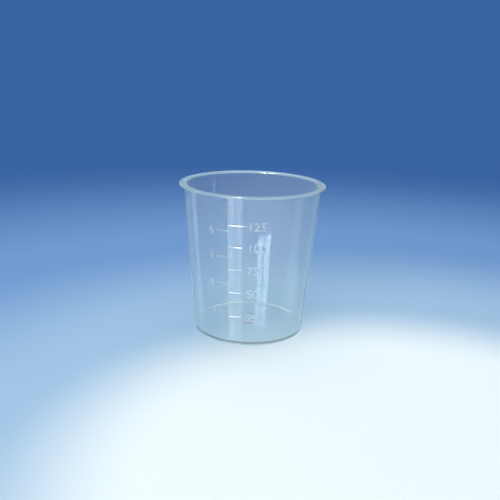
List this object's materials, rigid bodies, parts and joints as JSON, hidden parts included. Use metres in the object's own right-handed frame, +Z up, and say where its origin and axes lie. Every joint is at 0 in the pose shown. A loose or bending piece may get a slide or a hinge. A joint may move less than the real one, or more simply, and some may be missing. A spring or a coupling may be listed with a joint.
{
  "type": "specimen container",
  "caption": "Tapered clear plastic cup with a flat rim flange for a press-on lid, a low foot ring and a raised volume scale on one side of its wall.",
  "frame": {"origin": "middle of the foot, on the surface that the cup stands on", "axes": "+Z up along the cup's axis; the raised scale faces -Y, with its millilitre ticks towards +X"},
  "size_m": [0.0664, 0.0664, 0.069],
  "materials": {
    "clear_plastic": "clear natural polypropylene with a slight milky haze, glossy"
  },
  "bodies": {
    "root": {"cup": "clear_plastic"}
  },
  "joints": []
}
